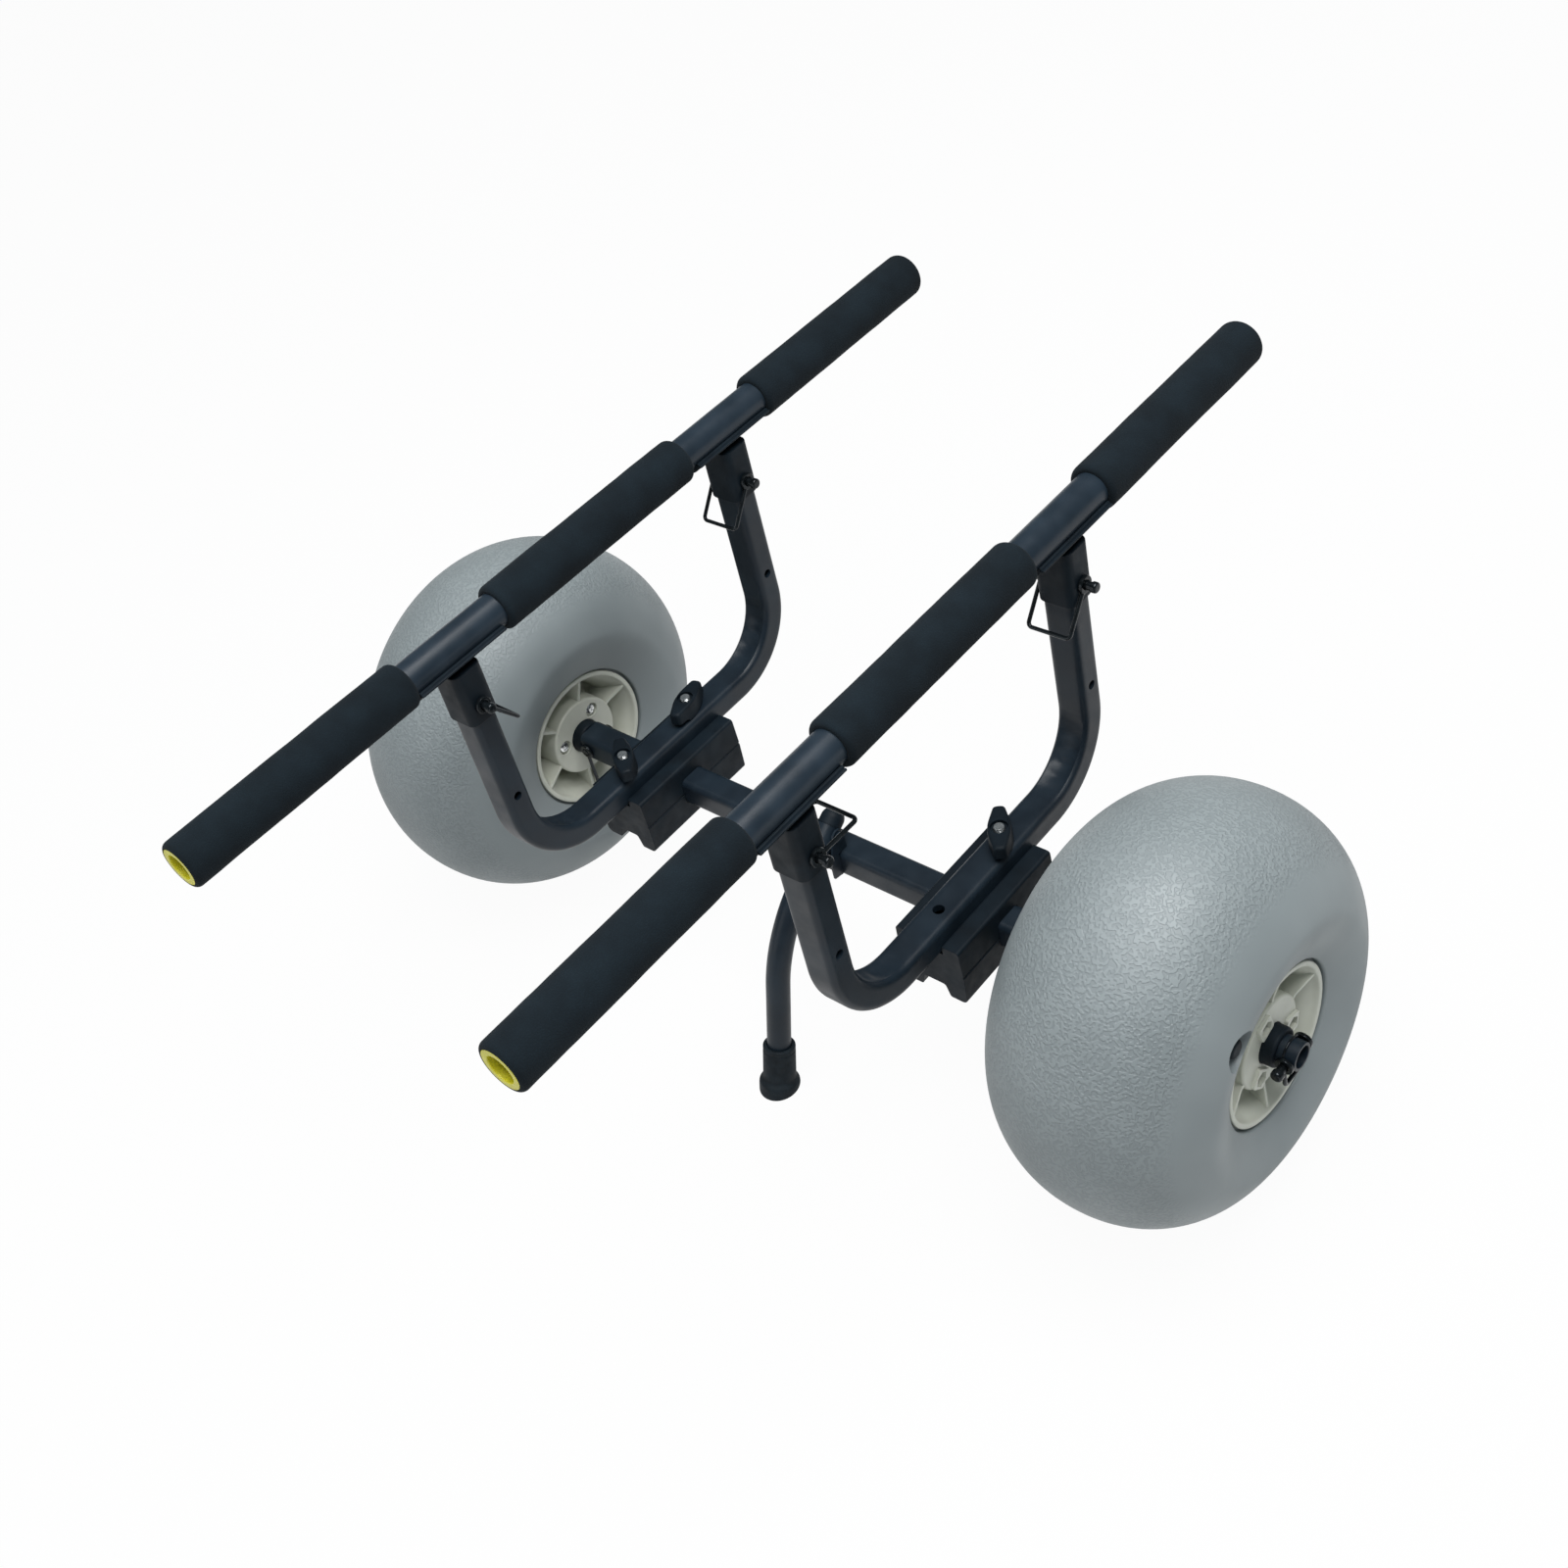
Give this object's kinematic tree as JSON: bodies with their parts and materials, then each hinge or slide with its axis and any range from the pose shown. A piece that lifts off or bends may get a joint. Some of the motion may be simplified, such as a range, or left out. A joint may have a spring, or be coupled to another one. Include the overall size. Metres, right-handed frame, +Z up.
{
  "type": "kayak cart",
  "caption": "Kayak cart: balloon wheels on a cross beam, padded bunks on sliding U-shaped frames, and a folding kickstand",
  "frame": {"origin": "on the ground under the middle of the cross beam", "axes": "+X along the axle to the right wheel, +Y to the rear of the cart, +Z up"},
  "size_m": [0.8026, 0.7532, 0.4067],
  "materials": {
    "frame_paint": "satin dark grey coat on steel tube",
    "bunk_tube_paint": "satin dark grey coat on steel tube",
    "black_plastic": "moulded, fine matt texture",
    "foam": "closed-cell foam, matt",
    "tyre": "soft grey moulded tyre, pebbled tread and smooth sidewalls",
    "hub_plastic": "warm light grey, semi-gloss",
    "yellow_plastic": "semi-gloss",
    "steel_hardware": "zinc plated",
    "black_wire": "black coated wire and pins",
    "black_rubber": "matt"
  },
  "bodies": {
    "beam": {"cross_beam": "frame_paint", "axle_left": "frame_paint", "axle_right": "frame_paint", "axle_pin_outer_left": "black_wire", "axle_pin_outer_right": "black_wire", "axle_pin_inner_left": "black_wire", "axle_pin_inner_right": "black_wire", "kickstand_bracket": "frame_paint", "kickstand_pivot": "frame_paint"},
    "wheel_left": {"tyre_left": "tyre", "hub_outer_left": "hub_plastic", "hub_inner_left": "hub_plastic", "hub_bushing_left": "black_plastic", "valve_left": "black_rubber"},
    "wheel_right": {"tyre_right": "tyre", "hub_outer_right": "hub_plastic", "hub_inner_right": "hub_plastic", "hub_bushing_right": "black_plastic", "valve_right": "black_rubber"},
    "bunk_frame_left": {"clamp_block_left": "black_plastic", "u_frame_left": "frame_paint", "clamp_bolt_left_front": "steel_hardware", "clamp_bolt_left_rear": "steel_hardware", "saddle_left_front": "black_plastic", "saddle_left_rear": "black_plastic", "arm_pin_left_front": "black_wire", "arm_pin_left_rear": "black_wire", "bunk_tube_left": "bunk_tube_paint", "foam_left_front": "foam", "foam_left_middle": "foam", "foam_left_rear": "foam", "end_plug_left_front": "yellow_plastic", "end_plug_left_rear": "yellow_plastic"},
    "bunk_frame_right": {"clamp_block_right": "black_plastic", "u_frame_right": "frame_paint", "clamp_bolt_right_rear": "steel_hardware", "saddle_right_front": "black_plastic", "saddle_right_rear": "black_plastic", "arm_pin_right_front": "black_wire", "arm_pin_right_rear": "black_wire", "bunk_tube_right": "bunk_tube_paint", "foam_right_front": "foam", "foam_right_middle": "foam", "foam_right_rear": "foam", "end_plug_right_front": "yellow_plastic", "end_plug_right_rear": "yellow_plastic"},
    "kickstand": {"kickstand_leg": "frame_paint", "kickstand_cap": "black_plastic", "kickstand_foot": "black_rubber"},
    "wing_knob_left_front": {"wing_knob_left_front": "black_plastic"},
    "wing_knob_left_rear": {"wing_knob_left_rear": "black_plastic"},
    "wing_knob_right_rear": {"wing_knob_right_rear": "black_plastic"},
    "arm_bail_left_front": {"arm_bail_left_front": "black_wire"},
    "arm_bail_left_rear": {"arm_bail_left_rear": "black_wire"},
    "arm_bail_right_front": {"arm_bail_right_front": "black_wire"},
    "arm_bail_right_rear": {"arm_bail_right_rear": "black_wire"},
    "axle_bail_outer_left": {"axle_bail_outer_left": "black_wire"},
    "axle_bail_outer_right": {"axle_bail_outer_right": "black_wire"},
    "axle_bail_inner_left": {"axle_bail_inner_left": "black_wire"},
    "axle_bail_inner_right": {"axle_bail_inner_right": "black_wire"}
  },
  "joints": [
    {"name": "wheel_left_spin", "type": "hinge", "parent": "beam", "child": "wheel_left", "pos_m": [-0.3135, 0, 0.15], "axis": [1, 0, 0], "continuous": true},
    {"name": "wheel_right_spin", "type": "hinge", "parent": "beam", "child": "wheel_right", "pos_m": [0.3135, 0, 0.15], "axis": [1, 0, 0], "continuous": true},
    {"name": "bunk_frame_left_slide", "type": "slide", "parent": "beam", "child": "bunk_frame_left", "axis": [-1, 0, 0], "range_m": [-0.06, 0.035]},
    {"name": "bunk_frame_right_slide", "type": "slide", "parent": "beam", "child": "bunk_frame_right", "axis": [1, 0, 0], "range_m": [-0.06, 0.035]},
    {"name": "kickstand_fold", "type": "hinge", "parent": "beam", "child": "kickstand", "pos_m": [0.0275, -0.0088, 0.17725], "axis": [-1, 0, 0], "range_deg": [0, 66]},
    {"name": "wing_knob_left_front_turn", "type": "hinge", "parent": "bunk_frame_left", "child": "wing_knob_left_front", "pos_m": [-0.1497, -0.037, 0.194], "axis": [0, 0, 1], "range_deg": [0, 450]},
    {"name": "wing_knob_left_rear_turn", "type": "hinge", "parent": "bunk_frame_left", "child": "wing_knob_left_rear", "pos_m": [-0.1497, 0.037, 0.194], "axis": [0, 0, 1], "range_deg": [0, 450]},
    {"name": "wing_knob_right_rear_turn", "type": "hinge", "parent": "bunk_frame_right", "child": "wing_knob_right_rear", "pos_m": [0.1527, 0.037, 0.194], "axis": [0, 0, 1], "range_deg": [0, 450]},
    {"name": "arm_bail_left_front_swing", "type": "hinge", "parent": "bunk_frame_left", "child": "arm_bail_left_front", "pos_m": [-0.1497, -0.1425, 0.344], "axis": [1, 0, 0], "range_deg": [-8, 95]},
    {"name": "arm_bail_left_rear_swing", "type": "hinge", "parent": "bunk_frame_left", "child": "arm_bail_left_rear", "pos_m": [-0.1497, 0.1425, 0.344], "axis": [-1, 0, 0], "range_deg": [-8, 95]},
    {"name": "arm_bail_right_front_swing", "type": "hinge", "parent": "bunk_frame_right", "child": "arm_bail_right_front", "pos_m": [0.1527, -0.1425, 0.344], "axis": [1, 0, 0], "range_deg": [-58, 42]},
    {"name": "arm_bail_right_rear_swing", "type": "hinge", "parent": "bunk_frame_right", "child": "arm_bail_right_rear", "pos_m": [0.1527, 0.1425, 0.344], "axis": [-1, 0, 0], "range_deg": [-8, 95]},
    {"name": "axle_bail_outer_left_swing", "type": "hinge", "parent": "beam", "child": "axle_bail_outer_left", "pos_m": [-0.395, 0, 0.15], "axis": [0, 1, 0], "range_deg": [0, 120]},
    {"name": "axle_bail_outer_right_swing", "type": "hinge", "parent": "beam", "child": "axle_bail_outer_right", "pos_m": [0.395, 0, 0.15], "axis": [0, -1, 0], "range_deg": [0, 120]},
    {"name": "axle_bail_inner_left_swing", "type": "hinge", "parent": "beam", "child": "axle_bail_inner_left", "pos_m": [-0.2322, 0, 0.15], "axis": [0, -1, 0], "range_deg": [0, 20]},
    {"name": "axle_bail_inner_right_swing", "type": "hinge", "parent": "beam", "child": "axle_bail_inner_right", "pos_m": [0.2322, 0, 0.15], "axis": [0, 1, 0], "range_deg": [0, 20]}
  ]
}
